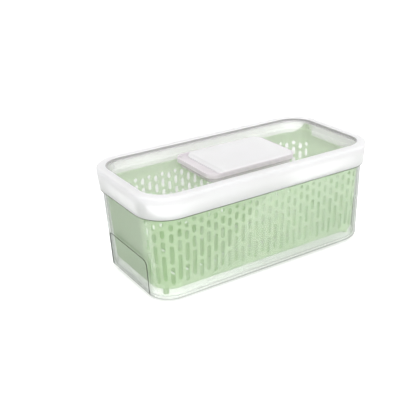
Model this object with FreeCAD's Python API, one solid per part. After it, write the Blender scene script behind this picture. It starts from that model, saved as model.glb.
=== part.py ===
"""Produce keeper: a clear bin, a slotted green basket that stands in it, and a lid with a sliding vent.

Millimetres. X runs along the length, Y across the width, Z up from the table.
The origin is on the table, under the middle of the bin. The vent's open end is at -X.
"""
import FreeCAD, Part
import math
import os

Vector = FreeCAD.Vector

# Outline of the lid, seen from above. Every ring and wall is set in from it by an inset.
lid_length = 304.0
lid_width = 152.0
lid_corner_radius = 38.0
overall_height = 122.0

# Lid band: the white skirt and the flat ring on top of it
band_height = 25.7
band_taper = 2.2
band_wall = 2.0
band_upright = 4.0
band_edge_round = 2.4
ring_width = 10.0
ring_thickness = 3.0

# Lid pan: the clear sunk panel under the ring
pan_flange_thickness = 2.0
pan_wall = 1.8
pan_taper = 0.8
pan_floor_thickness = 2.0
pan_depth = 13.0
pan_round = 3.0

# Gasket between ring and pan, and the soft seal that presses on the bin
gasket_width = 1.0
gasket_step_down = 0.8
seal_thickness = 2.2
seal_overhang = 0.25

# Bin
bin_rim_inset = 4.6
bin_base_inset = 8.2
bin_wall = 2.2
bin_floor = 3.0
bin_base_round = 6.0
bin_inner_round = 4.5
grip_width = 88.0
grip_top = 45.0
grip_depth = 1.0
grip_corner_radius = 6.0

# Basket
basket_bottom = 10.0
basket_rim_drop = 5.0
basket_rim_inset = 8.6
basket_base_inset = 14.0
basket_wall = 1.6
basket_floor_thickness = 1.8
basket_base_round = 5.0
foot_inset = 26.0
foot_radius = 3.2
ear_drop = 4.0
ear_tip_inset = 10.8
ear_sweep = 11.0
ear_sag = 2.4

# Basket slots: upright columns of two kinds that take turns, each with its slots from the bottom up
slot_width = 4.6
slot_pitch = 8.8
slot_gap = 3.5
slot_last_angle = 80.0
slot_rim_margin = 8.0
even_column_rise = 7.0
even_column_lengths = [21.0, 22.0, 10.5, 7.5]
odd_column_rise = 11.5
odd_column_lengths = [30.5, 13.5, 10.0, 5.0]
floor_slot_length = 14.0
floor_slot_pitch = 17.6
floor_slot_end_margin = 45.0
floor_slot_offset = 27.0

# Vent: a clear tray on the pan's collar, with a white cover that slides in it
vent_length = 118.0
vent_width = 80.0
vent_corner_radius = 12.0
tray_height = 5.2
tray_floor_thickness = 2.4
tray_rim = 1.3
collar_height = 4.0
collar_inset = 1.5
collar_wall = 2.0
skirt_depth = 6.0
skirt_wall = 2.0
cover_length = 102.0
cover_thickness = 2.9
cover_edge_round = 0.7
cover_travel = 12.0
scoop_radius = 10.0
scoop_depth = 1.6
runner_length = 70.0
runner_width = 2.0
runner_spread = 56.0
runner_foot_width = 5.0
runner_foot_height = 1.6
vent_slot_width = 2.2
vent_slot_length = 50.0
vent_slot_pitch = 4.4
vent_slot_count = 2

# Filter under the vent
cage_length = 66.0
cage_width = 40.0
cage_depth = 9.0
cage_wall = 1.5
cage_corner_radius = 5.0
cage_slot_width = 3.0
cage_slot_pitch = 6.0
cage_slot_margin = 6.0
filter_thickness = 5.5

# Clearances
seat_gap = 0.2
seal_gap = 0.3
slide_clearance = 0.35
fit_clearance = 0.3
cut_margin = 1.0

# Levels worked out from the sizes above
band_foot = overall_height - band_height
ring_underside = overall_height - ring_thickness
flange_underside = ring_underside - pan_flange_thickness
seal_underside = flange_underside - seal_thickness
bin_height = seal_underside - seal_gap
pan_floor_top = overall_height - pan_depth
pan_floor_underside = pan_floor_top - pan_floor_thickness
tray_underside = pan_floor_top + collar_height
tray_floor_top = tray_underside + tray_floor_thickness
cover_underside = tray_floor_top + seat_gap
cover_top = cover_underside + cover_thickness
basket_rim = pan_floor_underside - basket_rim_drop
ear_top = ring_underside - ear_drop


def rounded_rectangle(half_x, half_y, radius, height, centre_x=0.0):
    """Closed wire of a rounded rectangle lying flat at a height."""
    straight_x = half_x - radius
    straight_y = half_y - radius
    diagonal = radius * math.sqrt(0.5)
    edges = []
    for sign_x, sign_y in ((1, 1), (-1, 1), (-1, -1), (1, -1)):
        middle = Vector(centre_x + sign_x * straight_x, sign_y * straight_y, height)
        end_on_side = middle + Vector(sign_x * radius, 0, 0)
        end_on_front = middle + Vector(0, sign_y * radius, 0)
        bulge = middle + Vector(sign_x * diagonal, sign_y * diagonal, 0)
        edges.append(Part.Arc(end_on_side, bulge, end_on_front).toShape())
    for sign in (1, -1):
        along_x = Vector(centre_x, sign * half_y, height)
        along_y = Vector(centre_x + sign * half_x, 0, height)
        shift_x = Vector(straight_x, 0, 0)
        shift_y = Vector(0, straight_y, 0)
        edges.append(Part.makeLine(along_x - shift_x, along_x + shift_x))
        edges.append(Part.makeLine(along_y - shift_y, along_y + shift_y))
    return Part.Wire(Part.__sortEdges__(edges))


def outline(inset, height):
    """The lid's outline, set in by an inset, at a height."""
    return rounded_rectangle(
        lid_length / 2 - inset, lid_width / 2 - inset, lid_corner_radius - inset, height)


def tapered_block(low_inset, low, high_inset, high):
    """Solid between two outlines of the lid, with straight sloping sides."""
    return Part.makeLoft([outline(low_inset, low), outline(high_inset, high)], True, True)


def slab(half_x, half_y, radius, low, high, centre_x=0.0):
    """Upright rounded plate between two heights."""
    wire = rounded_rectangle(half_x, half_y, radius, low, centre_x)
    return Part.Face(wire).extrude(Vector(0, 0, high - low))


def round_edges_at(shape, height, radius):
    """Round the edges that lie flat at a height."""
    tolerance = 1e-4
    edges = []
    for edge in shape.Edges:
        box = edge.BoundBox
        if abs(box.ZMin - height) < tolerance and abs(box.ZMax - height) < tolerance:
            edges.append(edge)
    return shape.makeFillet(radius, edges)


def slope(low_value, low, high_value, high, height):
    """Value at a height on the straight line through two values."""
    return low_value + (high_value - low_value) * (height - low) / (high - low)


def bin_inset(height):
    """Inset of the bin's outer wall at a height."""
    return slope(bin_base_inset, 0.0, bin_rim_inset, bin_height, height)


def basket_inset(height):
    """Inset of the basket's outer wall at a height."""
    return slope(basket_base_inset, basket_bottom, basket_rim_inset, basket_rim, height)


def band_inner_inset(height):
    """Inset of the inner face of the lid's skirt at a height."""
    return band_wall + slope(band_taper, band_foot, 0.0, overall_height, height)


def pan_inset(height):
    """Inset of the outer face of the pan's wall at a height."""
    return slope(ring_width + pan_taper, pan_floor_underside, ring_width, ring_underside, height)


def slot_face(width, length):
    """Flat face of a round-ended slot, long in Y, centred on the origin."""
    radius = width / 2
    end = length / 2
    straight = end - radius
    edges = [
        Part.makeLine(Vector(radius, -straight, 0), Vector(radius, straight, 0)),
        Part.Arc(Vector(radius, straight, 0), Vector(0, end, 0), Vector(-radius, straight, 0)).toShape(),
        Part.makeLine(Vector(-radius, straight, 0), Vector(-radius, -straight, 0)),
        Part.Arc(Vector(-radius, -straight, 0), Vector(0, -end, 0), Vector(radius, -straight, 0)).toShape(),
    ]
    return Part.Face(Part.Wire(edges))


def upright_slot(width, length, low, depth):
    """Cutter of an upright slot that starts at a height and runs through in Y."""
    face = slot_face(width, length)
    face.rotate(Vector(0, 0, 0), Vector(1, 0, 0), 90)
    face.translate(Vector(0, -depth / 2, low + length / 2))
    return face.extrude(Vector(0, depth, 0))


def flat_slot(width, length, low, high):
    """Cutter of a flat slot, long in Y, from one height to another."""
    face = slot_face(width, length)
    face.translate(Vector(0, 0, low))
    return face.extrude(Vector(0, 0, high - low))


def row_positions(pitch, reach):
    """Evenly spaced places from -reach to +reach, with one in the middle."""
    count = int(reach // pitch)
    return [index * pitch for index in range(-count, count + 1)]


def moved(shape, x=0.0, y=0.0, z=0.0):
    copy = shape.copy()
    copy.translate(Vector(x, y, z))
    return copy


def bin_block(extra_inset):
    """Solid of the bin's outer shape with its rounded foot, set in by an extra amount."""
    block = tapered_block(bin_base_inset + extra_inset, 0.0, bin_rim_inset + extra_inset, bin_height)
    return round_edges_at(block, 0.0, bin_base_round)


def make_grip_cutter():
    """What is cut off the +X end for a shallow grip that follows the wall and is open at the foot."""
    cutter = slab(grip_top, grip_width / 2, grip_corner_radius, 0.0, lid_length)
    cutter.rotate(Vector(0, 0, 0), Vector(0, 1, 0), 90)
    return cutter.cut(bin_block(grip_depth))


def make_bin():
    """Clear bin with sloping walls, a rounded foot and a shallow finger grip low on each end."""
    rim_cut = bin_height + cut_margin
    hollow = tapered_block(
        bin_inset(bin_floor) + bin_wall, bin_floor, bin_inset(rim_cut) + bin_wall, rim_cut)
    shell = bin_block(0.0).cut(round_edges_at(hollow, bin_floor, bin_inner_round))
    grip = make_grip_cutter()
    other_grip = grip.mirror(Vector(0, 0, 0), Vector(1, 0, 0))
    return shell.cut(Part.makeCompound([grip, other_grip]))


def make_ear_trim():
    """What is cut off above the basket's rim in front of +Y, so that the +X corner is left as an ear."""
    tip = Vector(lid_length / 2 - ear_tip_inset, 0, ear_top)
    foot = Vector(tip.x - ear_sweep, 0, basket_rim)
    far = lid_length
    above = ear_top + cut_margin
    chord = tip - foot
    sag = Vector(chord.z, 0, -chord.x) * (ear_sag / chord.Length)
    outer = Part.makePolygon([
        tip,
        Vector(tip.x, 0, above),
        Vector(-far, 0, above),
        Vector(-far, 0, basket_rim),
        foot,
    ])
    curve = Part.Arc(foot, (foot + tip) * 0.5 + sag, tip).toShape()
    along_wall = Part.Face(Part.Wire(outer.Edges + [curve])).extrude(Vector(0, lid_width, 0))
    end_length = lid_width / 2 - lid_corner_radius
    along_end = Part.makeBox(2 * far, end_length, above - basket_rim, Vector(-far, 0, basket_rim))
    return along_wall.fuse(along_end)


def make_slot_column(rise, lengths, depth):
    """One column of slots, from the bottom up, as far as the plain strip below the rim."""
    highest = basket_rim - slot_rim_margin
    low = basket_bottom + rise
    column = []
    for length in lengths:
        if low + length <= highest:
            column.append(upright_slot(slot_width, length, low, depth))
        low += length + slot_gap
    return column


def make_slot_columns(depth):
    """The two kinds of column that take turns."""
    return [
        make_slot_column(even_column_rise, even_column_lengths, depth),
        make_slot_column(odd_column_rise, odd_column_lengths, depth),
    ]


def make_slot_cutters():
    """Cutters for the slots: right through both long walls, and then on round the four corners."""
    flat = lid_length / 2 - lid_corner_radius
    corner_y = lid_width / 2 - lid_corner_radius
    bend = lid_corner_radius - basket_inset((basket_bottom + basket_rim) / 2)
    wall_columns = make_slot_columns(lid_width)
    corner_columns = make_slot_columns(2 * lid_corner_radius)
    cutters = []
    for place in row_positions(slot_pitch, flat + bend * math.radians(slot_last_angle)):
        kind = round(place / slot_pitch) % 2
        if abs(place) <= flat:
            cutters += [moved(slot, x=place) for slot in wall_columns[kind]]
            continue
        side = math.copysign(1, place)
        angle = math.degrees((abs(place) - flat) / bend)
        for front in (1, -1):
            for slot in corner_columns[kind]:
                turned = slot.copy()
                turned.rotate(Vector(0, 0, 0), Vector(0, 0, 1), -side * front * angle)
                cutters.append(moved(turned, x=side * flat, y=front * corner_y))
    return cutters


def make_floor_cutters():
    """Cutters for the drain slots in the basket's floor."""
    slot = flat_slot(
        slot_width, floor_slot_length, basket_bottom - cut_margin,
        basket_bottom + basket_floor_thickness + cut_margin)
    cutters = []
    for place in row_positions(floor_slot_pitch, lid_length / 2 - floor_slot_end_margin):
        for side in (1, -1):
            cutters.append(moved(slot, x=place, y=side * floor_slot_offset))
    return cutters


def make_basket():
    """Green basket: slotted walls and corners, plain ends, four feet, and ears on two opposite corners."""
    shell = round_edges_at(
        tapered_block(basket_base_inset, basket_bottom, basket_inset(ear_top), ear_top),
        basket_bottom, basket_base_round)
    hollow_bottom = basket_bottom + basket_floor_thickness
    hollow_top = ear_top + cut_margin
    hollow = tapered_block(
        basket_inset(hollow_bottom) + basket_wall, hollow_bottom,
        basket_inset(hollow_top) + basket_wall, hollow_top)
    inner_round = basket_base_round - basket_wall
    shell = shell.cut(round_edges_at(hollow, hollow_bottom, inner_round))
    trim = make_ear_trim()
    other_trim = trim.copy()
    other_trim.rotate(Vector(0, 0, 0), Vector(0, 0, 1), 180)
    shell = shell.cut(trim).cut(other_trim)
    shell = shell.cut(Part.makeCompound(make_slot_cutters()))
    shell = shell.cut(Part.makeCompound(make_floor_cutters()))
    foot_bottom = bin_floor + seat_gap
    foot_height = hollow_bottom - foot_bottom
    for sign_x in (1, -1):
        for sign_y in (1, -1):
            place = Vector(
                sign_x * (lid_length / 2 - foot_inset), sign_y * (lid_width / 2 - foot_inset), foot_bottom)
            shell = shell.fuse(Part.makeCylinder(foot_radius, foot_height, place))
    return shell.removeSplitter()


def make_lid_band():
    """White band: a skirt that leans in towards its foot, upright near the top, and the flat ring."""
    outlines = [
        outline(band_taper, band_foot),
        outline(0.0, overall_height - band_upright),
        outline(0.0, overall_height),
    ]
    block = Part.makeLoft(outlines, True, True)
    block = round_edges_at(block, overall_height, band_edge_round)
    low = band_foot - cut_margin
    hollow = tapered_block(
        band_inner_inset(low), low, band_inner_inset(ring_underside), ring_underside)
    opening = tapered_block(
        ring_width, ring_underside - cut_margin, ring_width, overall_height + cut_margin)
    return block.cut(hollow).cut(opening)


def make_lid_pan():
    """Clear pan: a flange under the ring, sloping walls, a floor, and the collar that carries the vent."""
    flange_inset = band_inner_inset(flange_underside) + fit_clearance
    flange = tapered_block(flange_inset, flange_underside, flange_inset, ring_underside)
    well = round_edges_at(
        tapered_block(
            pan_inset(pan_floor_underside), pan_floor_underside,
            pan_inset(flange_underside), flange_underside),
        pan_floor_underside, pan_round)
    well_top = ring_underside + cut_margin
    hollow = round_edges_at(
        tapered_block(
            pan_inset(pan_floor_top) + pan_wall, pan_floor_top,
            pan_inset(well_top) + pan_wall, well_top),
        pan_floor_top, pan_round)
    pan = flange.fuse(well).cut(hollow)
    collar = slab(
        vent_length / 2 - collar_inset, vent_width / 2 - collar_inset,
        vent_corner_radius - collar_inset, pan_floor_underside, tray_underside)
    opening_inset = collar_inset + collar_wall
    opening = slab(
        vent_length / 2 - opening_inset, vent_width / 2 - opening_inset,
        vent_corner_radius - opening_inset, pan_floor_underside - cut_margin,
        tray_underside + cut_margin)
    return pan.fuse(collar).cut(opening).removeSplitter()


def make_pan_gasket():
    """Grey gasket that shows as a dark line inside the ring, on top of the pan's wall."""
    top = overall_height - gasket_step_down
    outer = tapered_block(ring_width, ring_underside, ring_width, top)
    inner_inset = ring_width + gasket_width
    return outer.cut(
        tapered_block(inner_inset, ring_underside - cut_margin, inner_inset, top + cut_margin))


def make_lid_seal():
    """Soft seal under the pan's flange, over the bin's rim."""
    outer_inset = bin_rim_inset - seal_overhang
    inner_inset = bin_rim_inset + bin_wall + seal_overhang
    outer = tapered_block(outer_inset, seal_underside, outer_inset, flange_underside)
    return outer.cut(tapered_block(
        inner_inset, seal_underside - cut_margin, inner_inset, flange_underside + cut_margin))


def make_runner_track():
    """Cutters for the two tracks that the cover's runners slide in."""
    width = runner_width + 2 * slide_clearance
    length = runner_length + cover_travel + 2 * slide_clearance
    middle = cover_middle() - cover_travel / 2
    low = tray_underside - cut_margin
    height = tray_floor_thickness + 2 * cut_margin
    tracks = []
    for side in (1, -1):
        corner = Vector(middle - length / 2, side * runner_spread / 2 - width / 2, low)
        tracks.append(Part.makeBox(length, width, height, corner))
    return tracks


def make_vent_tray():
    """Clear tray of the vent: a rim, a slotted floor with two tracks, and a skirt inside the collar."""
    tray = slab(
        vent_length / 2, vent_width / 2, vent_corner_radius, tray_underside,
        tray_underside + tray_height)
    tray = tray.cut(slab(
        vent_length / 2 - tray_rim, vent_width / 2 - tray_rim, vent_corner_radius - tray_rim,
        tray_floor_top, tray_underside + tray_height + cut_margin))
    skirt_inset = collar_inset + collar_wall + fit_clearance
    skirt = slab(
        vent_length / 2 - skirt_inset, vent_width / 2 - skirt_inset,
        vent_corner_radius - skirt_inset, tray_underside - skirt_depth, tray_underside)
    hollow_inset = skirt_inset + skirt_wall
    skirt = skirt.cut(slab(
        vent_length / 2 - hollow_inset, vent_width / 2 - hollow_inset,
        vent_corner_radius - hollow_inset, tray_underside - skirt_depth - cut_margin, tray_underside))
    low = tray_underside - cut_margin
    high = tray_floor_top + cut_margin
    cutters = make_runner_track()
    end_slot = flat_slot(vent_slot_width, vent_slot_length, low, high)
    last = vent_length / 2 - hollow_inset - vent_slot_width
    for index in range(vent_slot_count):
        cutters.append(moved(end_slot, x=last - index * vent_slot_pitch))
    cutters += make_cage_slots(low, high)
    return tray.fuse(skirt).cut(Part.makeCompound(cutters)).removeSplitter()


def make_cage_slots(low, high):
    """Cutters for the air slots above and below the filter."""
    slot = flat_slot(cage_slot_width, cage_width - 2 * cage_slot_margin, low, high)
    reach = cage_length / 2 - cage_slot_margin
    return [moved(slot, x=place) for place in row_positions(cage_slot_pitch, reach)]


def cover_middle():
    """X of the cover's middle at rest, where it is pushed up to the +X end of its tray."""
    return vent_length / 2 - tray_rim - slide_clearance - cover_length / 2


def make_vent_cover():
    """White cover with a scooped finger edge at -X and two runners that hook under the tray's floor."""
    inset = tray_rim + slide_clearance
    middle = cover_middle()
    plate = slab(
        cover_length / 2, vent_width / 2 - inset, vent_corner_radius - inset,
        cover_underside, cover_top, middle)
    plate = round_edges_at(plate, cover_top, cover_edge_round)
    scoop = Part.makeCylinder(
        scoop_radius, vent_width,
        Vector(middle - cover_length / 2, -vent_width / 2, cover_top + scoop_radius - scoop_depth),
        Vector(0, 1, 0))
    plate = plate.cut(scoop)
    foot_top = tray_underside - slide_clearance
    foot_bottom = foot_top - runner_foot_height
    for side in (1, -1):
        middle_y = side * runner_spread / 2
        stem = Part.makeBox(
            runner_length, runner_width, cover_underside - foot_bottom + cover_edge_round,
            Vector(middle - runner_length / 2, middle_y - runner_width / 2, foot_bottom))
        foot = Part.makeBox(
            runner_length, runner_foot_width, runner_foot_height,
            Vector(middle - runner_length / 2, middle_y - runner_foot_width / 2, foot_bottom))
        plate = plate.fuse(stem).fuse(foot)
    return plate.removeSplitter()


def make_filter_cage():
    """Slotted cage under the vent that holds the filter."""
    bottom = tray_underside - cage_depth
    cage = slab(cage_length / 2, cage_width / 2, cage_corner_radius, bottom, tray_underside)
    hollow = slab(
        cage_length / 2 - cage_wall, cage_width / 2 - cage_wall, cage_corner_radius - cage_wall,
        bottom + cage_wall, tray_underside + cut_margin)
    slots = make_cage_slots(bottom - cut_margin, bottom + cage_wall + cut_margin)
    return cage.cut(hollow).cut(Part.makeCompound(slots))


def make_filter_pad():
    """Carbon filter pad, lying on the cage's floor."""
    inset = cage_wall + fit_clearance
    bottom = tray_underside - cage_depth + cage_wall
    return slab(
        cage_length / 2 - inset, cage_width / 2 - inset, cage_corner_radius - inset,
        bottom, bottom + filter_thickness)


pieces = {
    "bin": make_bin,
    "basket": make_basket,
    "lid_band": make_lid_band,
    "lid_pan": make_lid_pan,
    "pan_gasket": make_pan_gasket,
    "lid_seal": make_lid_seal,
    "vent_tray": make_vent_tray,
    "vent_cover": make_vent_cover,
    "filter_cage": make_filter_cage,
    "filter_pad": make_filter_pad,
}

os.makedirs("parts", exist_ok=True)
for name, make in pieces.items():
    shape = make()
    print(name, "valid", shape.isValid(), "solids", len(shape.Solids), "volume", round(shape.Volume, 1))
    shape.exportStep("parts/" + name + ".step")
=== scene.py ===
"""Produce keeper: finishes, light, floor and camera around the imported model. Metres, Z up."""
import bmesh
import bpy
import math
from mathutils import Matrix, Vector, noise


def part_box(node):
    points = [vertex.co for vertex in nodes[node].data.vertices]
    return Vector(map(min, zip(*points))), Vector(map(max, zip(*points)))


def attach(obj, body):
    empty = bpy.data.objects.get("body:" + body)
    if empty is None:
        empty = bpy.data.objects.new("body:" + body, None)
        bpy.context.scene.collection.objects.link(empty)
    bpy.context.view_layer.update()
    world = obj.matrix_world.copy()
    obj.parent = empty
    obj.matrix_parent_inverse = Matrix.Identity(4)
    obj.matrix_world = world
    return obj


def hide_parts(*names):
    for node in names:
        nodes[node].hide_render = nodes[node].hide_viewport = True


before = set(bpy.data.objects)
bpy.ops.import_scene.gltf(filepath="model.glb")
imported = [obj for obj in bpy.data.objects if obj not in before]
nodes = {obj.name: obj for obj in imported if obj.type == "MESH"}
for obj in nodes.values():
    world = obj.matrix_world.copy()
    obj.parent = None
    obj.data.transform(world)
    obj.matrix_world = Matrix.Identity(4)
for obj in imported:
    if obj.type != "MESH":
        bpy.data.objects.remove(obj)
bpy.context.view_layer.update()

# Camera, found from the photograph's lines: degrees and metres, the sensor in millimetres, the rest in pixels
image_side = 420
camera_azimuth = -33.44
camera_elevation = 23.42
camera_roll = -1.48
camera_distance = 0.871
camera_target = Vector((0.0, 0.0, 0.0612))
focal_pixels = 740.4
centre_pixel = (236.6, 199.9)
sensor_width = 36.0

# Light: strengths in watts, places and sizes in metres
lamps = {
    "key": {"place": Vector((-0.42, -1.52, 0.70)), "size": 1.4, "power": 15.0},
    "top": {"place": Vector((0.1, 0.1, 1.7)), "size": 1.6, "power": 12.5},
    "back": {"place": Vector((1.2, 1.4, 0.36)), "size": 0.6, "power": 43.0},
}
world_light = 0.72
background_white = 1.0
pure_white = (1.0, 1.0, 1.0, 1.0)

# Clear faces that one line of sight may cross
most_layers = 32

# Floor: it glows white to the camera, less in a painted soft shadow behind the keeper
floor_side = 6.0
floor_colour = (0.62, 0.62, 0.62, 1.0)
floor_roughness = 0.6
floor_shade_middle = (0.12, 0.22, 0.0)
floor_near = 0.1
floor_far = 0.36
floor_glow_near = 0.0
floor_glow_far = 1.0

# Painted contact shade on the floor along the outline of the bin's foot, a rounded rectangle
contact_half_length = 0.1408
contact_half_width = 0.0648
contact_corner = 0.0268
contact_near = 0.001
contact_far = 0.010
contact_glow_share = 0.45

# Clear plastic: the share of light that each face lets through, seen square on and edge on
bin_face_on = (0.947, 0.961, 0.941, 1.0)
lid_face_on = (0.972, 0.966, 0.972, 1.0)
bin_edge_on = (0.455, 0.45, 0.475, 1.0)
lid_edge_on = (0.86, 0.855, 0.86, 1.0)
edge_on_power = 2.6
facing_blend = 0.5
clear_lamps = (0.985, 0.985, 0.985, 1.0)
bin_straight_share = 0.85
lid_straight_share = 0.9

# Clear plastic: gloss, and a faint moulded waviness in waves per metre
clear_refraction = 1.47
haze_scale = 9.0
haze_detail = 3.0
haze_roughness = 0.05
ripple_scale = 22.0
ripple_detail = 1.0
ripple_height = 0.0004
ripple_relief = 0.08

# Clear plastic: milkiness, stronger in the lid's walls, which start above its floor's level
bin_milk = (0.88, 0.93, 0.85, 1.0)
bin_milk_share = 0.03
lid_milk = (0.95, 0.92, 0.945, 1.0)
lid_floor_milk_share = 0.15
lid_wall_milk_share = 0.24
milk_back_share = 0.3
lid_floor_level = 0.1095

# Grip at each end of the bin: the step round it is drawn as a thin dark line of painted shade in the leaning
# wall's outer skin, standing in for the step's refraction
grip_half_width = 0.044
grip_top = 0.045
grip_corner = 0.006
grip_step_shade_half_width = 0.0008
grip_step_painted_shade = (0.015, 0.03, 0.01, 1.0)
bin_half_length_at_foot = 0.1438
bin_lean = 0.0314
bin_outer_skin = 0.0018

# Moulded finishes: colour clouds and grain in waves per metre, and the grain's range of roughness
green_finish = {"clouds": 14.0, "grain": 420.0, "rough": (0.28, 0.42), "relief": 0.12, "refraction": 1.46}
white_finish = {"clouds": 18.0, "grain": 700.0, "rough": (0.3, 0.42), "relief": 0.1, "refraction": 1.5}
frost_finish = {"clouds": 30.0, "grain": 900.0, "rough": (0.25, 0.4), "relief": 0.1, "refraction": 1.49}
gasket_finish = {"clouds": 60.0, "grain": 900.0, "rough": (0.47, 0.63), "relief": 0.15, "refraction": 1.42}
seal_finish = {"clouds": 60.0, "grain": 900.0, "rough": (0.42, 0.58), "relief": 0.15, "refraction": 1.42}
cloud_detail = 4.0
grain_detail = 2.0
grain_height = 0.0001

# The range that most of a noise pattern lies in
noise_low = 0.3
noise_high = 0.7

# Green plastic, linear colours: painted shade makes it darker in the basket's hollow, and it is thin enough
# for light to come through
green_light = (0.78, 0.92, 0.68, 1.0)
green_deep = (0.74, 0.885, 0.64, 1.0)
green_through = (0.67, 0.825, 0.565, 1.0)
green_hollow_shade = (0.37, 0.55, 0.29, 1.0)
hollow_shade_reach = 0.09
green_glow_share = 0.3
green_straight_share = 0.08

# White plastic, linear colours: a thin dark line of painted shade runs along the band's foot, where it meets
# the bin
white_light = (0.86, 0.86, 0.865, 1.0)
white_warm = (0.83, 0.83, 0.83, 1.0)
white_glow_share = 0.45
white_lamps = (0.5, 0.5, 0.5, 1.0)
foot_painted_shade = (0.05, 0.08, 0.035, 1.0)
foot_painted_shade_height = 0.0008

# Frosted plastic, linear colours
frost_pale = (0.78, 0.74, 0.77, 1.0)
frost_grey = (0.71, 0.67, 0.70, 1.0)
frost_glow_share = 0.25
frost_straight_share = 0.08
frost_lamps = (0.6, 0.6, 0.6, 1.0)

# Rubber and silicone, linear colours
rubber_grey = (0.40, 0.39, 0.40, 1.0)
rubber_worn = (0.46, 0.45, 0.46, 1.0)
seal_pale = (0.80, 0.81, 0.81, 1.0)
seal_milky = (0.74, 0.75, 0.75, 1.0)

# Felt, linear colours, with its fibres in waves per metre
felt_black = (0.02, 0.02, 0.022, 1.0)
felt_grey = (0.06, 0.06, 0.062, 1.0)
felt_roughness = 0.95
fibre_scale = 1500.0
fibre_detail = 6.0
fibre_height = 0.0006
fibre_relief = 0.6

# Felt pad's mesh
pad_columns = 64
pad_rows = 40
pad_squareness = 8.0
pad_crown = 0.0007
pad_fuzz = 0.00025
pad_fuzz_scale = 900.0
merge_distance = 1e-6


class Graph:
    """A material's node tree, with short calls to add and join nodes."""

    def __init__(self, name):
        self.material = bpy.data.materials.new(name)
        self.material.use_nodes = True
        self.tree = self.material.node_tree
        self.tree.nodes.clear()
        self.output = self.add("ShaderNodeOutputMaterial")
        self.place = self.add("ShaderNodeTexCoord").outputs["Object"]

    def add(self, kind, **values):
        """Adds a node and sets its options."""
        node = self.tree.nodes.new(kind)
        for key, value in values.items():
            setattr(node, key, value)
        return node

    def feed(self, socket, value):
        """Joins another node's output to a socket, or sets the socket to a plain value."""
        if isinstance(value, bpy.types.NodeSocket):
            self.tree.links.new(value, socket)
        else:
            socket.default_value = value

    def math(self, operation, first, second=0.0):
        """Result of one sum on one or two numbers."""
        node = self.add("ShaderNodeMath", operation=operation)
        self.feed(node.inputs[0], first)
        self.feed(node.inputs[1], second)
        return node.outputs["Value"]

    def axes(self):
        """The X, Y and Z of the place on the surface."""
        node = self.add("ShaderNodeSeparateXYZ")
        self.feed(node.inputs["Vector"], self.place)
        return node.outputs

    def noise(self, scale, detail):
        """Cloudy pattern in space, around 0.5."""
        node = self.add("ShaderNodeTexNoise")
        self.feed(node.inputs["Scale"], scale)
        self.feed(node.inputs["Detail"], detail)
        self.feed(node.inputs["Vector"], self.place)
        return node.outputs["Fac"]

    def ramp(self, source, from_low, from_high, to_low, to_high):
        """Maps one range onto another, and stays within it."""
        node = self.add("ShaderNodeMapRange")
        self.feed(node.inputs["Value"], source)
        self.feed(node.inputs["From Min"], from_low)
        self.feed(node.inputs["From Max"], from_high)
        self.feed(node.inputs["To Min"], to_low)
        self.feed(node.inputs["To Max"], to_high)
        return node.outputs["Result"]

    def spread(self, source, low, high):
        """Maps the middle range of a noise onto low to high."""
        return self.ramp(source, noise_low, noise_high, low, high)

    def blend(self, share, first, second):
        """Colour between two colours."""
        node = self.add("ShaderNodeMix", data_type="RGBA")
        self.feed(node.inputs["Factor"], share)
        colours = [socket for socket in node.inputs if socket.type == "RGBA"]
        self.feed(colours[0], first)
        self.feed(colours[1], second)
        return [socket for socket in node.outputs if socket.type == "RGBA"][0]

    def bump(self, source, height, strength):
        """Fine relief of a given height, shown at a given strength."""
        node = self.add("ShaderNodeBump")
        self.feed(node.inputs["Strength"], strength)
        self.feed(node.inputs["Distance"], height)
        self.feed(node.inputs["Height"], source)
        return node.outputs["Normal"]

    def principled(self, **values):
        """Principled shader, with its sockets named by words joined with underscores."""
        node = self.add("ShaderNodeBsdfPrincipled")
        for key, value in values.items():
            self.feed(node.inputs[key.replace("_", " ")], value)
        return node.outputs["BSDF"]

    def plain(self, kind, colour):
        """Shader of one kind with a colour: Diffuse, Translucent or Transparent."""
        node = self.add("ShaderNodeBsdf" + kind)
        self.feed(node.inputs["Color"], colour)
        return node.outputs["BSDF"]

    def mix(self, share, first, second):
        """Shader with a share of the second shader in the first."""
        node = self.add("ShaderNodeMixShader")
        self.feed(node.inputs["Fac"], share)
        self.feed(node.inputs[1], first)
        self.feed(node.inputs[2], second)
        return node.outputs["Shader"]

    def edge_on(self, power):
        """0 where a face is seen square on, up to 1 where it is seen edge on."""
        weight = self.add("ShaderNodeLayerWeight")
        self.feed(weight.inputs["Blend"], facing_blend)
        return self.math("POWER", weight.outputs["Facing"], power)

    def openness(self, reach):
        """1 on open faces, falling towards 0 in the deep hollows of the same piece; used for painted shade.
        """
        node = self.add("ShaderNodeAmbientOcclusion", only_local=True)
        self.feed(node.inputs["Distance"], reach)
        return node.outputs["AO"]

    def lamps_pass(self, shader, colour):
        """Lets lamp light straight through, so that what lies behind is lit."""
        path = self.add("ShaderNodeLightPath")
        return self.mix(path.outputs["Is Shadow Ray"], shader, self.plain("Transparent", colour))

    def finish(self, shader):
        """Makes the shader the material's surface, and returns the material."""
        self.feed(self.output.inputs["Surface"], shader)
        return self.material


def seen_rays(tree):
    """1 for rays that see the background: straight, mirrored or through glass."""
    path = tree.nodes.new("ShaderNodeLightPath")
    total = path.outputs["Is Camera Ray"]
    for name in ("Is Glossy Ray", "Is Transmission Ray"):
        larger = tree.nodes.new("ShaderNodeMath")
        larger.operation = "MAXIMUM"
        tree.links.new(total, larger.inputs[0])
        tree.links.new(path.outputs[name], larger.inputs[1])
        total = larger.outputs["Value"]
    return total


def off_round_edge(graph, first, second, half_first, half_second, corner):
    """Distance from the edge of a rounded rectangle: less than 0 inside it, more than 0 outside."""
    squares = 0.0
    for place, half in ((first, half_first), (second, half_second)):
        past = graph.math("SUBTRACT", graph.math("ABSOLUTE", place), half - corner)
        past = graph.math("MAXIMUM", past, 0.0)
        squares = graph.math("ADD", graph.math("MULTIPLY", past, past), squares)
    return graph.math("SUBTRACT", graph.math("SQRT", squares), corner)


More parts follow.
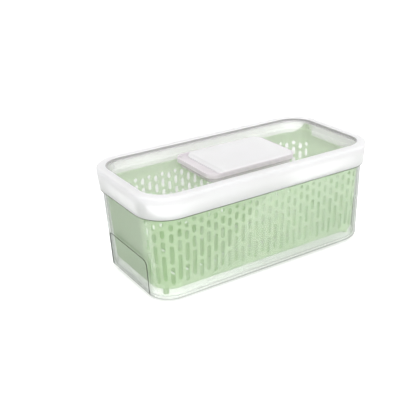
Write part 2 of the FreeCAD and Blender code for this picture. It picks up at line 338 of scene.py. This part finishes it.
def grip_step_shade(graph):
    """1 on the thin step round the grip at each end of the bin, where a dark line of painted shade stands in
    for the step's refraction, 0 elsewhere.
    """
    axes = graph.axes()
    off = off_round_edge(graph, axes["Y"], axes["Z"], grip_half_width, grip_top, grip_corner)
    on_line = graph.math("LESS_THAN", graph.math("ABSOLUTE", off), grip_step_shade_half_width)
    length = graph.math("ABSOLUTE", axes["X"])
    length = graph.math("SUBTRACT", length, graph.math("MULTIPLY", axes["Z"], bin_lean))
    outer = graph.math("GREATER_THAN", length, bin_half_length_at_foot - bin_outer_skin)
    return graph.math("MULTIPLY", on_line, outer)


def clear_body(graph, face_on, edge_on, straight_share, painted_shade_line=None):
    """Polished clear plastic: mostly straight through, greyer edge on, with a faint moulded waviness."""
    haze = graph.spread(graph.noise(haze_scale, haze_detail), 0.0, haze_roughness)
    ripple = graph.bump(graph.noise(ripple_scale, ripple_detail), ripple_height, ripple_relief)
    glass = graph.principled(
        Base_Color=face_on, IOR=clear_refraction, Transmission_Weight=1.0, Roughness=haze, Normal=ripple)
    tint = graph.blend(graph.edge_on(edge_on_power), face_on, edge_on)
    # Painted shade: the grip's step is tinted dark, standing in for its refraction
    if painted_shade_line is not None:
        tint = graph.blend(painted_shade_line, tint, grip_step_painted_shade)
    return graph.mix(straight_share, glass, graph.plain("Transparent", tint))


def milky(graph, share, body, colour):
    """Adds a share of milky plastic that catches light from both sides."""
    front = graph.plain("Diffuse", colour)
    back = graph.plain("Translucent", colour)
    return graph.mix(share, body, graph.mix(milk_back_share, front, back))


def cloudy(graph, finish, first, second):
    """Colour that drifts between two colours in soft clouds."""
    share = graph.spread(graph.noise(finish["clouds"], cloud_detail), 0.0, 1.0)
    return graph.blend(share, first, second)


def moulded(graph, finish, colour):
    """Moulded surface with a fine grain in its gloss and its relief."""
    grain = graph.noise(finish["grain"], grain_detail)
    smooth, rough = finish["rough"]
    return graph.principled(
        Base_Color=colour, IOR=finish["refraction"], Roughness=graph.spread(grain, smooth, rough),
        Normal=graph.bump(grain, grain_height, finish["relief"]))


def clear_bin():
    """Clear plastic of the bin, with a dark line of painted shade round its grips, standing in for the step's
    refraction.
    """
    graph = Graph("clear_bin")
    body = clear_body(graph, bin_face_on, bin_edge_on, bin_straight_share, grip_step_shade(graph))
    return graph.finish(graph.lamps_pass(milky(graph, bin_milk_share, body, bin_milk), clear_lamps))


def clear_lid():
    """Clear plastic of the lid's pan, milkier in its walls than in its floor."""
    graph = Graph("clear_lid")
    body = clear_body(graph, lid_face_on, lid_edge_on, lid_straight_share)
    wall = graph.math("GREATER_THAN", graph.axes()["Z"], lid_floor_level)
    extra = graph.math("MULTIPLY", wall, lid_wall_milk_share - lid_floor_milk_share)
    share = graph.math("ADD", extra, lid_floor_milk_share)
    return graph.finish(graph.lamps_pass(milky(graph, share, body, lid_milk), clear_lamps))


def green_plastic():
    """Thin translucent green plastic: light comes through the walls, and painted shade darkens its hollows.
    """
    graph = Graph("green_plastic")
    open_green = cloudy(graph, green_finish, green_light, green_deep)
    # Painted shade: the green darkens in the basket's hollows, by ambient occlusion
    shell = moulded(graph, green_finish, graph.blend(graph.openness(hollow_shade_reach), green_hollow_shade, open_green))
    body = graph.mix(green_glow_share, shell, graph.plain("Translucent", green_through))
    return graph.finish(graph.mix(green_straight_share, body, graph.plain("Transparent", green_through)))


def white_plastic(name, foot_shade_level=None):
    """White moulded plastic with a fine satin grain, with a dark green painted shade below the foot's level
    if there is one.
    """
    graph = Graph(name)
    colour = cloudy(graph, white_finish, white_light, white_warm)
    if foot_shade_level is not None:
        # Painted shade: a thin dark green line at the band's foot stands in for the shadow where the band
        # meets the bin
        foot = graph.math("LESS_THAN", graph.axes()["Z"], foot_shade_level)
        colour = graph.blend(foot, colour, foot_painted_shade)
    shell = moulded(graph, white_finish, colour)
    body = graph.mix(white_glow_share, shell, graph.plain("Translucent", colour))
    return graph.finish(graph.lamps_pass(body, white_lamps))


def frosted_plastic():
    """Milky plastic with a fine matt grain that still lets some shapes through."""
    graph = Graph("frosted_plastic")
    shell = moulded(graph, frost_finish, cloudy(graph, frost_finish, frost_pale, frost_grey))
    body = graph.mix(frost_glow_share, shell, graph.plain("Translucent", frost_pale))
    body = graph.mix(frost_straight_share, body, graph.plain("Transparent", lid_face_on))
    return graph.finish(graph.lamps_pass(body, frost_lamps))


def soft_rubber(name, finish, first, second):
    """Soft moulded rubber with a dusty, uneven colour."""
    graph = Graph(name)
    return graph.finish(moulded(graph, finish, cloudy(graph, finish, first, second)))


def filter_felt():
    """Black carbon felt with loose fibres."""
    graph = Graph("filter_felt")
    fibre = graph.noise(fibre_scale, fibre_detail)
    return graph.finish(graph.principled(
        Base_Color=graph.blend(graph.spread(fibre, 0.0, 1.0), felt_black, felt_grey),
        Roughness=felt_roughness, Normal=graph.bump(fibre, fibre_height, fibre_relief)))


def dress(material, *names):
    """Gives CAD nodes a material."""
    for name in names:
        nodes[name].data.materials.clear()
        nodes[name].data.materials.append(material)


def pad_point(u, v, side, middle, half):
    """Point on the pad's upper or lower face, where u and v go from -1 to 1 across it."""
    reach = max(abs(u), abs(v))
    round_reach = (abs(u) ** pad_squareness + abs(v) ** pad_squareness) ** (1.0 / pad_squareness)
    shrink = reach / round_reach if round_reach > 0.0 else 1.0
    x = middle.x + u * shrink * half.x
    y = middle.y + v * shrink * half.y
    edge = math.sqrt(max(0.0, 1.0 - reach ** pad_squareness))
    thick = half.z - pad_crown * reach * reach
    fuzz = pad_fuzz * (noise.noise(Vector((x, y, side)) * pad_fuzz_scale) - 1.0)
    return x, y, middle.z + side * edge * (thick + fuzz)


def make_felt_pad():
    """Felt pad with slightly crowned, fuzzy faces, in the space of the plain pad."""
    low, high = (Vector(corner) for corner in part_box("filter_pad"))
    half = (high - low) / 2
    middle = (high + low) / 2
    across = [2.0 * column / pad_columns - 1.0 for column in range(pad_columns + 1)]
    along = [2.0 * row / pad_rows - 1.0 for row in range(pad_rows + 1)]
    mesh = bmesh.new()
    for side in (1.0, -1.0):
        grid = [[mesh.verts.new(pad_point(u, v, side, middle, half)) for u in across] for v in along]
        for near, far in zip(grid, grid[1:]):
            for column in range(pad_columns):
                corners = [near[column], near[column + 1], far[column + 1], far[column]]
                mesh.faces.new(corners if side > 0.0 else corners[::-1])
    bmesh.ops.remove_doubles(mesh, verts=mesh.verts, dist=merge_distance)
    data = bpy.data.meshes.new("felt_pad")
    mesh.to_mesh(data)
    mesh.free()
    data.shade_smooth()
    pad = bpy.data.objects.new("felt_pad", data)
    bpy.context.scene.collection.objects.link(pad)
    return pad


def floor_glow(graph):
    """White glow for rays that see the floor, less in a painted shadow behind the keeper and a painted
    contact shade along its foot.
    """
    # Painted shadow: the glow fades near a point behind the keeper
    reach = graph.add("ShaderNodeVectorMath", operation="DISTANCE")
    graph.feed(reach.inputs[0], graph.place)
    graph.feed(reach.inputs[1], floor_shade_middle)
    fade = graph.ramp(reach.outputs["Value"], floor_near, floor_far, floor_glow_near, floor_glow_far)
    # Painted contact shade: the glow drops near the outline of the bin's foot
    axes = graph.axes()
    off = off_round_edge(graph, axes["X"], axes["Y"], contact_half_length, contact_half_width, contact_corner)
    contact = graph.ramp(graph.math("ABSOLUTE", off), contact_near, contact_far, contact_glow_share, 1.0)
    glow = graph.math("MULTIPLY", seen_rays(graph.tree), fade)
    return graph.math("MULTIPLY", glow, contact)


def make_floor():
    """Pale floor that reads as white but keeps the object's shadow."""
    bpy.ops.mesh.primitive_plane_add(size=floor_side)
    floor = bpy.context.object
    floor.name = "floor"
    graph = Graph("floor_white")
    floor.data.materials.append(graph.finish(graph.principled(
        Base_Color=floor_colour, Roughness=floor_roughness,
        Emission_Color=pure_white, Emission_Strength=floor_glow(graph))))


def make_world():
    """Even pale light all round, and a white background."""
    world = bpy.data.worlds.new("studio")
    bpy.context.scene.world = world
    world.use_nodes = True
    tree = world.node_tree
    tree.nodes.clear()
    sides = []
    for strength in (world_light, background_white):
        side = tree.nodes.new("ShaderNodeBackground")
        side.inputs["Color"].default_value = pure_white
        side.inputs["Strength"].default_value = strength
        sides.append(side)
    mix = tree.nodes.new("ShaderNodeMixShader")
    tree.links.new(seen_rays(tree), mix.inputs["Fac"])
    tree.links.new(sides[0].outputs["Background"], mix.inputs[1])
    tree.links.new(sides[1].outputs["Background"], mix.inputs[2])
    output = tree.nodes.new("ShaderNodeOutputWorld")
    tree.links.new(mix.outputs["Shader"], output.inputs["Surface"])


def make_lamp(name, place, size, power):
    """Square soft box that looks at the keeper."""
    lamp = bpy.data.lights.new(name, "AREA")
    lamp.shape = "SQUARE"
    lamp.size = size
    lamp.energy = power
    holder = bpy.data.objects.new(name, lamp)
    bpy.context.scene.collection.objects.link(holder)
    holder.location = place
    holder.visible_glossy = False
    holder.visible_transmission = False
    holder.rotation_mode = "QUATERNION"
    holder.rotation_quaternion = (camera_target - place).to_track_quat("-Z", "Y")


def make_camera():
    """Camera at the photograph's viewing angle, with its framing as a small shift."""
    azimuth = math.radians(camera_azimuth)
    elevation = math.radians(camera_elevation)
    back = Vector((
        math.sin(azimuth) * math.cos(elevation),
        -math.cos(azimuth) * math.cos(elevation),
        math.sin(elevation)))
    data = bpy.data.cameras.new("camera")
    data.sensor_width = sensor_width
    data.lens = focal_pixels / image_side * sensor_width
    data.shift_x = 0.5 - centre_pixel[0] / image_side
    data.shift_y = centre_pixel[1] / image_side - 0.5
    camera = bpy.data.objects.new("camera", data)
    bpy.context.scene.collection.objects.link(camera)
    turn = (-back).to_track_quat("-Z", "Y").to_matrix().to_4x4()
    roll = Matrix.Rotation(math.radians(camera_roll), 4, "Z")
    camera.matrix_world = Matrix.Translation(camera_target + back * camera_distance) @ turn @ roll
    bpy.context.scene.camera = camera


dress(clear_bin(), "bin")
dress(clear_lid(), "lid_pan")
dress(green_plastic(), "basket")
# The band's foot gets a thin line of painted shade
dress(white_plastic("white_band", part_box("lid_band")[0][2] + foot_painted_shade_height), "lid_band")
dress(white_plastic("white_cover"), "vent_cover")
dress(frosted_plastic(), "vent_tray", "filter_cage")
dress(soft_rubber("grey_rubber", gasket_finish, rubber_grey, rubber_worn), "pan_gasket")
dress(soft_rubber("seal_silicone", seal_finish, seal_pale, seal_milky), "lid_seal")

felt_pad = make_felt_pad()
felt_pad.data.materials.append(filter_felt())
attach(felt_pad, "lid")
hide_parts("filter_pad")

make_floor()
make_world()
for name, lamp in lamps.items():
    make_lamp(name, **lamp)
make_camera()
bpy.context.scene.view_settings.view_transform = "Standard"
bpy.context.scene.cycles.transparent_max_bounces = most_layers
